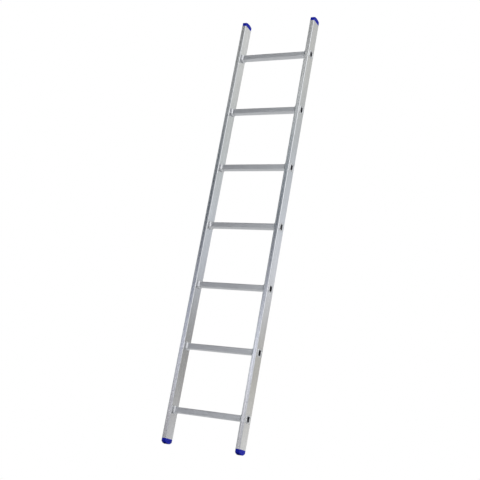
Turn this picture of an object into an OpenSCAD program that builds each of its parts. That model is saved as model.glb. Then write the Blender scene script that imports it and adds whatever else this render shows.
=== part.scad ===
// Straight aluminium ladder with seven rungs.
// X runs along the rungs, Y from front to back, Z up the stiles.
// The origin is on the ground, midway between the two feet.

/* [Ladder] */
// Width over the outer faces of the stiles
ladder_w = 375; // [300:1:500]
// Distance between neighbouring rungs
rung_pitch = 280; // [200:1:320]
// Stile length below the first rung
lower_reach = 125; // [80:1:200]
// Stile length above the last rung
upper_reach = 162.5; // [80:0.5:300]

/* [Stiles] */
// Stile section from side to side
stile_w = 20; // [16:0.5:30]
// Stile section from front to back
stile_d = 58; // [48:0.5:90]
// Corner radius of the stile section
stile_r = 3; // [2.5:0.1:4]
// Wall thickness of the stile
stile_wall = 1.6; // [1.2:0.1:2.2]
// Depth of the two flutes along each narrow face
flute_depth = 0.4; // [0.2:0.1:0.6]

/* [Rungs] */
// Rung section from front to back
rung_d = 25; // [22:0.5:32]
// Rung section from bottom to top
rung_h = 25; // [20:0.5:30]
// Corner radius of the rung section
rung_r = 3; // [2.5:0.1:5]
// Wall thickness of the rung
rung_wall = 1.4; // [1.3:0.1:2]
// Depth of the grip grooves along the rung
groove_depth = 0.5; // [0.2:0.1:0.6]
// Grip grooves on the tread and on the underside
tread_grooves = 6; // [2:1:6]
// Grip grooves on the front and on the back
face_grooves = 4; // [2:1:4]

/* [Rung ends] */
// Radius of the bead that the rung makes against the inside of the stile
bead_r = 5; // [3.5:0.1:6]
// Inner bend radius of the rim rolled over the outside of the stile
rim_bend = 1.5; // [1:0.1:2]
// Play between the rung and the hole that it passes through
rung_play = 0.1; // [0.05:0.05:0.3]

/* [Feet and top caps] */
// Height of a foot below the stile
foot_h = 22.5; // [16:0.5:30]
// Rise of the foot's curved sole from its middle to its edges
foot_crown = 11.5; // [6:0.5:14]
// Height of a top cap above the stile
cap_h = 21.5; // [12:0.5:30]
// Fall of the top cap's curved top from its middle to its edges
cap_crown = 6; // [3:0.5:10]
// Length of the spigot inside the stile
spigot_len = 32; // [20:1:50]
// Wall thickness of the spigot
spigot_wall = 2; // [1.5:0.1:3]
// Play between the spigot and the stile
spigot_play = 0.15; // [0.05:0.05:0.4]
// Depth of the grooves across the sole
sole_groove_depth = 1.2; // [0.5:0.1:2]

/* [Hidden] */

aluminium = [0.77, 0.78, 0.79];
blue_plastic = [0.09, 0.10, 0.62];

LEFT = -1;
RIGHT = 1;
rungs = 7;

stile_x = (ladder_w - stile_w) / 2;
stile_len = lower_reach + (rungs - 1) * rung_pitch + upper_reach;
inner_face = ladder_w / 2 - stile_w;
outer_face = ladder_w / 2;

flute_r = 1.2;
flute_x = stile_w / 5;

groove_r = 0.8;
tread_groove_pitch = (rung_d - 2 * rung_r) / tread_grooves;
face_groove_pitch = (rung_h - 2 * rung_r) / face_grooves;

sole_groove_w = 2;
sole_groove_pitch = 8;
sole_grooves = 6;

over = 1;
curve_fn = 48;

function rung_z(n) = foot_h + lower_reach + (n - 1) * rung_pitch;
function crown_radius(width, rise) = (pow(width / 2, 2) + pow(rise, 2)) / (2 * rise);
function centred(count, pitch) = [for (i = [0 : count - 1]) (i - (count - 1) / 2) * pitch];

// ---- sections ----

// Rectangle with true round corners
module rounded_rect(x, y, r) {
    square([x - 2 * r, y], center = true);
    square([x, y - 2 * r], center = true);
    for (sx = [-1, 1], sy = [-1, 1])
        translate([sx * (x / 2 - r), sy * (y / 2 - r)])
            circle(r, $fn = curve_fn);
}

// Extruded stile: a box section with two shallow flutes along each narrow face
module stile_section() {
    difference() {
        rounded_rect(stile_w, stile_d, stile_r);
        rounded_rect(stile_w - 2 * stile_wall, stile_d - 2 * stile_wall, stile_r - stile_wall);
        for (sx = [-1, 1], sy = [-1, 1])
            translate([sx * flute_x, sy * (stile_d / 2 + flute_r - flute_depth)])
                circle(flute_r, $fn = curve_fn);
    }
}

// Extruded rung: a box section with fine grip grooves on all four faces
module rung_section() {
    difference() {
        rounded_rect(rung_d, rung_h, rung_r);
        rounded_rect(rung_d - 2 * rung_wall, rung_h - 2 * rung_wall, rung_r - rung_wall);
        for (y = centred(tread_grooves, tread_groove_pitch), side = [-1, 1])
            translate([y, side * (rung_h / 2 + groove_r - groove_depth)])
                circle(groove_r, $fn = curve_fn);
        for (z = centred(face_grooves, face_groove_pitch), side = [-1, 1])
            translate([side * (rung_d / 2 + groove_r - groove_depth), z])
                circle(groove_r, $fn = curve_fn);
    }
}

// Carries a profile round the rung's outline. The profile's x is the distance from the centre
// of the outline's corner, so rung_r is the outer surface; its y runs along the rung.
module around_rung() {
    half = [rung_d / 2 - rung_r, rung_h / 2 - rung_r];
    for (turn = [0 : 3]) {
        along = (turn % 2 == 0) ? half.x : half.y;
        across = (turn % 2 == 0) ? half.y : half.x;
        rotate(turn * 90) {
            translate([along, across, 0])
                rotate_extrude(angle = 90, $fn = curve_fn) children();
            translate([along, 0, 0])
                rotate([90, 0, 0])
                    linear_extrude(2 * across, center = true) children();
        }
    }
}

// The part of a profile that lies outside the rung's bore
module outside_bore(reach) {
    intersection() {
        children();
        translate([rung_r - rung_wall, -reach]) square([2 * reach, 2 * reach]);
    }
}

// Rim rolled outwards and back down to the stile
module rim_profile() {
    difference() {
        translate([rung_r + rim_bend, 0]) circle(rim_bend + rung_wall, $fn = curve_fn);
        translate([rung_r + rim_bend, 0]) circle(rim_bend, $fn = curve_fn);
        translate([0, -2 * bead_r]) square([4 * bead_r, 2 * bead_r]);
    }
}

// ---- parts ----

module stile(side) {
    color(aluminium)
        translate([side * stile_x, 0, foot_h])
            difference() {
                linear_extrude(stile_len) stile_section();
                for (n = [1 : rungs])
                    translate([0, 0, rung_z(n) - foot_h])
                        rotate([90, 0, 90])
                            linear_extrude(stile_w + 2 * over, center = true)
                                rounded_rect(rung_d + 2 * rung_play, rung_h + 2 * rung_play, rung_r + rung_play);
            }
}

module rung(n) {
    bead_x = inner_face - bead_r;
    color(aluminium)
        translate([0, 0, rung_z(n)])
            rotate([90, 0, 90])
                difference() {
                    union() {
                        linear_extrude(2 * outer_face, center = true) rung_section();
                        for (side = [LEFT, RIGHT])
                            translate([0, 0, side * bead_x])
                                around_rung() outside_bore(2 * bead_r)
                                    translate([rung_r, 0]) circle(bead_r, $fn = curve_fn);
                        for (turned = [0, 1])
                            mirror([0, 0, turned])
                                translate([0, 0, outer_face])
                                    around_rung() rim_profile();
                    }
                    for (side = [LEFT, RIGHT])
                        translate([0, 0, side * bead_x])
                            around_rung() outside_bore(2 * bead_r)
                                translate([rung_r, 0]) circle(bead_r - rung_wall, $fn = curve_fn);
                }
}

// Hollow spigot with a cross web, standing on z = 0
module spigot() {
    x = stile_w - 2 * stile_wall - 2 * spigot_play;
    y = stile_d - 2 * stile_wall - 2 * spigot_play;
    r = stile_r - stile_wall;
    linear_extrude(spigot_len)
        difference() {
            rounded_rect(x, y, r);
            for (sy = [-1, 1])
                translate([0, sy * (y - spigot_wall) / 4])
                    square([x - 2 * spigot_wall, (y - 3 * spigot_wall) / 2], center = true);
        }
}

// Head flush with the stile, from z = 0 at the crown up to the stile's end at z = height
module plug_head(height, crown) {
    intersection() {
        linear_extrude(height) rounded_rect(stile_w, stile_d, stile_r);
        rotate([90, 0, 90])
            linear_extrude(stile_w + 2 * over, center = true)
                translate([0, crown_radius(stile_d, crown)])
                    circle(crown_radius(stile_d, crown), $fn = 4 * curve_fn);
    }
}

module foot(side) {
    sole_r = crown_radius(stile_d, foot_crown);
    color(blue_plastic)
        translate([side * stile_x, 0, 0]) {
            difference() {
                plug_head(foot_h, foot_crown);
                for (y = centred(sole_grooves, sole_groove_pitch))
                    translate([0, 0, sole_r])
                        rotate([asin(y / sole_r), 0, 0])
                            translate([0, 0, -sole_r])
                                cube([stile_w + 2 * over, sole_groove_w, 2 * sole_groove_depth], center = true);
            }
            translate([0, 0, foot_h]) spigot();
        }
}

module top_cap(side) {
    color(blue_plastic)
        translate([side * stile_x, 0, foot_h + stile_len + cap_h])
            mirror([0, 0, 1]) {
                plug_head(cap_h, cap_crown);
                translate([0, 0, cap_h]) spigot();
            }
}

stile(LEFT);  // left_stile
stile(RIGHT);  // right_stile
rung(1);  // rung_1
rung(2);  // rung_2
rung(3);  // rung_3
rung(4);  // rung_4
rung(5);  // rung_5
rung(6);  // rung_6
rung(7);  // rung_7
foot(LEFT);  // left_foot
foot(RIGHT);  // right_foot
top_cap(LEFT);  // left_top_cap
top_cap(RIGHT);  // right_top_cap
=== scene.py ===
"""Looks of the straight aluminium ladder: camera, studio, and a procedural finish for every piece."""

import math

import bpy
from mathutils import Matrix, Vector

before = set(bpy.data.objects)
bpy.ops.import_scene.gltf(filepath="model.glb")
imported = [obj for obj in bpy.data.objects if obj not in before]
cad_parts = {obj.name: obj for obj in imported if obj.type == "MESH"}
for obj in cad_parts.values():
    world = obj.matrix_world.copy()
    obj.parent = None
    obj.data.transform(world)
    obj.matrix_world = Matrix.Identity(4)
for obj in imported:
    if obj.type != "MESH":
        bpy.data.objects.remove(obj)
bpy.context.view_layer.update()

# The ladder stands upright here. In the photograph it leans back, so the camera leans instead.
LEAN = math.radians(21.7)
CAMERA_PLACE = Vector((1.984, -3.551, -0.2005))
CAMERA_TARGET = Vector((-0.003, 0.0, 0.9225))
CAMERA_LENS = 71.4
SENSOR_WIDTH = 36

FLOOR_HALF = 40.0
COVE_START = 2.0
COVE_END = 16.0


def frame_axes(place, target, up_hint):
    """World matrix of a camera at place that looks at target, with up_hint up in its view."""
    back = (place - target).normalized()
    right = up_hint.cross(back).normalized()
    up = back.cross(right)
    turn = Matrix((right, up, back)).transposed().to_4x4()
    return Matrix.Translation(place) @ turn


def make_camera():
    data = bpy.data.cameras.new("camera")
    data.lens = CAMERA_LENS
    data.sensor_width = SENSOR_WIDTH
    data.clip_end = 100
    camera = bpy.data.objects.new("camera", data)
    bpy.context.collection.objects.link(camera)
    photo_up = Vector((0, -math.sin(LEAN), math.cos(LEAN)))
    camera.matrix_world = frame_axes(CAMERA_PLACE, CAMERA_TARGET, photo_up)
    bpy.context.scene.camera = camera


class Nodes:
    """A short way to write a material's node tree."""

    def __init__(self, tree):
        self.tree = tree
        tree.nodes.clear()

    def add(self, kind, inputs=None, **settings):
        node = self.tree.nodes.new(kind)
        for name, value in settings.items():
            setattr(node, name, value)
        for name, value in (inputs or {}).items():
            if isinstance(value, bpy.types.NodeSocket):
                self.tree.links.new(value, node.inputs[name])
            else:
                node.inputs[name].default_value = value
        return node

    def ramp(self, factor, stops):
        node = self.add("ShaderNodeValToRGB", {"Fac": factor})
        while len(node.color_ramp.elements) < len(stops):
            node.color_ramp.elements.new(0.5)
        for element, (position, value) in zip(node.color_ramp.elements, stops):
            element.position = position
            grey = (value, value, value) if isinstance(value, (int, float)) else value
            element.color = (*grey, 1)
        return node.outputs["Color"]

    def noise(self, coordinates, scale, detail=3.0, roughness=0.5):
        node = self.add(
            "ShaderNodeTexNoise",
            {"Vector": coordinates, "Scale": scale, "Detail": detail, "Roughness": roughness},
        )
        return node.outputs["Fac"]

    def mixed(self, colour, shade):
        """The colour darkened by the shade."""
        node = self.add("ShaderNodeMix", data_type="RGBA", blend_type="MULTIPLY")
        node.inputs["Factor"].default_value = 1.0
        self.tree.links.new(colour, node.inputs[6])
        self.tree.links.new(shade, node.inputs[7])
        return node.outputs[2]

    def bump(self, height, strength, distance, normal=None):
        inputs = {"Height": height, "Strength": strength, "Distance": distance}
        if normal is not None:
            inputs["Normal"] = normal
        return self.add("ShaderNodeBump", inputs).outputs["Normal"]


def new_material(name):
    material = bpy.data.materials.new(name)
    material.use_nodes = True
    return material, Nodes(material.node_tree)


def aluminium(name, run, tint, roughness, streak, turn):
    """Mill-finish extrusion: die lines along its run, faint cloudiness, and a few scuffs.

    The lines spread reflections across the run. The anisotropy stands for that: streak is its
    strength, and turn lays it across the run.
    """
    material, n = new_material(name)
    place = n.add("ShaderNodeTexCoord").outputs["Object"]

    def lines(per_metre, along=3.0, detail=3.0):
        scale = [along if axis == run else per_metre for axis in "XYZ"]
        stretched = n.add("ShaderNodeMapping", {"Vector": place, "Scale": scale}).outputs["Vector"]
        return n.noise(stretched, 1.0, detail, 0.6)

    broad_lines = lines(300.0)
    fine_lines = lines(1300.0, 8.0, 2.0)
    clouds = n.noise(place, 11.0, 3.0, 0.55)
    scuffs = n.noise(place, 70.0, 5.0, 0.7)
    grain = n.noise(place, 1500.0, 2.0, 0.6)

    base = n.ramp(broad_lines, [(0.3, [c * 0.93 for c in tint]), (0.7, tint)])
    base = n.mixed(base, n.ramp(fine_lines, [(0.3, 0.95), (0.7, 1.0)]))
    base = n.mixed(base, n.ramp(clouds, [(0.3, 0.965), (0.7, 1.0)]))
    line_rough = n.ramp(broad_lines, [(0.25, roughness + 0.02), (0.75, roughness - 0.02)])
    scuff_rough = n.ramp(scuffs, [(0.60, 0.0), (0.78, 0.05)])
    rough = n.add("ShaderNodeMath", {0: line_rough, 1: scuff_rough}, operation="ADD").outputs[0]
    line_bump = n.bump(fine_lines, 0.25, 0.0001)
    shader = n.add(
        "ShaderNodeBsdfPrincipled",
        {"Base Color": base, "Metallic": 1.0, "Roughness": rough,
         "Normal": n.bump(grain, 0.04, 0.0001, line_bump),
         "Anisotropic": streak, "Anisotropic Rotation": turn},
    )
    n.add("ShaderNodeOutputMaterial", {"Surface": shader.outputs["BSDF"]})
    return material


def blue_plastic():
    """Moulded plastic: fine spark-eroded grain, and slightly uneven colour and shine."""
    material, n = new_material("blue_plastic")
    place = n.add("ShaderNodeTexCoord").outputs["Object"]
    grain = n.noise(place, 1400.0, 2.0, 0.6)
    clouds = n.noise(place, 60.0, 4.0, 0.6)
    shader = n.add(
        "ShaderNodeBsdfPrincipled",
        {"Base Color": n.ramp(clouds, [(0.3, (0.003, 0.010, 0.36)), (0.7, (0.005, 0.015, 0.47))]),
         "Roughness": n.ramp(clouds, [(0.3, 0.36), (0.7, 0.48)]),
         "Specular IOR Level": 0.15,
         "Normal": n.bump(grain, 0.15, 0.0002)},
    )
    n.add("ShaderNodeOutputMaterial", {"Surface": shader.outputs["BSDF"]})
    return material


def dress(node_name, material):
    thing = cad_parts[node_name]
    thing.data.materials.clear()
    thing.data.materials.append(material)


def make_floor():
    """Pale floor that runs into the white backdrop far off. From below it lets the view through."""
    material, n = new_material("floor")
    place = n.add("ShaderNodeTexCoord").outputs["Object"]
    distance = n.add("ShaderNodeVectorMath", {0: place}, operation="LENGTH").outputs["Value"]
    far = n.add(
        "ShaderNodeMapRange",
        {"Value": distance, "From Min": COVE_START, "From Max": COVE_END},
        interpolation_type="SMOOTHSTEP",
    ).outputs["Result"]
    pale = n.add("ShaderNodeBsdfDiffuse", {"Color": (0.93, 0.93, 0.94, 1)})
    white = n.add("ShaderNodeEmission", {"Color": (1, 1, 1, 1), "Strength": 1.0})
    cove = n.add("ShaderNodeMixShader", {0: far, 1: pale.outputs[0], 2: white.outputs[0]})
    clear = n.add("ShaderNodeBsdfTransparent")
    behind = n.add("ShaderNodeNewGeometry").outputs["Backfacing"]
    one_way = n.add("ShaderNodeMixShader", {0: behind, 1: cove.outputs[0], 2: clear.outputs[0]})
    n.add("ShaderNodeOutputMaterial", {"Surface": one_way.outputs[0]})
    half = FLOOR_HALF
    mesh = bpy.data.meshes.new("floor")
    corners = [(-half, -half, 0), (half, -half, 0), (half, half, 0), (-half, half, 0)]
    mesh.from_pydata(corners, [], [(0, 1, 2, 3)])
    mesh.materials.append(material)
    floor = bpy.data.objects.new("floor", mesh)
    bpy.context.collection.objects.link(floor)


# Soft glows of the studio: azimuth from the front (-Y) towards the left (-X), elevation,
# half width (all in degrees) and brightness. The brightnesses were not chosen by hand: a
# least-squares fit to the photograph's tones worked them out.
GLOWS = [
    (24, 5, 4, (0.97, 0.94, 0.90)),
    (24, 9, 4, (1.87, 1.94, 2.14)),
    (24, 21, 4, (0.06, 0.16, 0.24)),
    (24, 25, 4, (1.36, 1.35, 1.29)),
    (34, 5, 4, (0.55, 0.48, 0.45)),
    (34, 9, 4, (0.08, 0.13, 0.32)),
    (4, 10, 9, (1.47, 1.50, 1.69)),
    (4, 30, 11, (0.68, 0.70, 0.73)),
    (58, 12, 13, (0.02, 0.08, 0.11)),
    (-146, 2, 4.5, (0.75, 0.75, 0.81)),
    (-146, 14, 4.5, (0.52, 0.57, 0.66)),
    (-146, 20, 4.5, (0.75, 0.78, 0.72)),
    (-146, 27, 4.5, (0.97, 0.98, 0.96)),
    (-156, 2, 4.5, (1.22, 1.23, 1.19)),
    (-156, 8, 4.5, (0.62, 0.58, 0.47)),
    (-156, 14, 4.5, (0.96, 0.97, 1.02)),
    (-156, 20, 4.5, (0.32, 0.36, 0.45)),
    (-156, 27, 4.5, (0.27, 0.26, 0.20)),
    (-150, 40, 12, (0.44, 0.44, 0.47)),
    (-172, 15, 12, (0.46, 0.45, 0.45)),
    (-28, 14, 13, (0.17, 0.16, 0.26)),
    (-52, 14, 13, (1.24, 1.24, 1.24)),
    (-76, 14, 13, (1.30, 1.30, 1.30)),
    (-100, 14, 13, (1.26, 1.31, 1.40)),
    (-50, 40, 20, (1.38, 1.38, 1.38)),
    (-85, 42, 22, (1.32, 1.39, 1.38)),
    (0, 90, 30, (0.75, 0.77, 0.77)),
    (95, 20, 28, (0.32, 0.34, 0.35)),
    (150, 22, 28, (0.39, 0.39, 0.38)),
    (180, 58, 22, (0.36, 0.36, 0.35)),
]


def make_world():
    """White backdrop to the camera; soft glows all round light the ladder."""
    world = bpy.data.worlds.new("studio")
    world.use_nodes = True
    bpy.context.scene.world = world
    n = Nodes(world.node_tree)
    direction = n.add("ShaderNodeTexCoord").outputs["Generated"]
    total = (0.0, 0.0, 0.0)
    for azimuth, elevation, width, colour in GLOWS:
        a, e = math.radians(azimuth), math.radians(elevation)
        centre = (-math.sin(a) * math.cos(e), -math.cos(a) * math.cos(e), math.sin(e))
        dot = n.add(
            "ShaderNodeVectorMath", {0: direction, 1: centre}, operation="DOT_PRODUCT"
        ).outputs["Value"]
        sharpness = 1 / (1 - math.cos(math.radians(width)))
        fall = n.add("ShaderNodeMath", {0: dot, 1: sharpness, 2: -sharpness}, operation="MULTIPLY_ADD")
        glow = n.add("ShaderNodeMath", {0: fall.outputs[0]}, operation="EXPONENT").outputs[0]
        total = n.add(
            "ShaderNodeVectorMath", {0: glow, 1: colour, 2: total}, operation="MULTIPLY_ADD"
        ).outputs["Vector"]
    light = n.add("ShaderNodeBackground", {"Color": total, "Strength": 1.0})
    white = n.add("ShaderNodeBackground", {"Color": (1, 1, 1, 1), "Strength": 1.0})
    seen = n.add("ShaderNodeLightPath").outputs["Is Camera Ray"]
    both = n.add("ShaderNodeMixShader", {0: seen, 1: light.outputs[0], 2: white.outputs[0]})
    n.add("ShaderNodeOutputWorld", {"Surface": both.outputs[0]})


make_camera()
make_world()
make_floor()
bpy.context.scene.view_settings.view_transform = "Standard"

stile_finish = aluminium("stile_aluminium", "Z", (0.87, 0.875, 0.885), 0.20, 0.7, 0.0)
rung_finish = aluminium("rung_aluminium", "X", (0.86, 0.865, 0.88), 0.30, 0.8, 0.25)
plastic = blue_plastic()
for node_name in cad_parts:
    if "stile" in node_name:
        dress(node_name, stile_finish)
    elif "rung" in node_name:
        dress(node_name, rung_finish)
    else:
        dress(node_name, plastic)
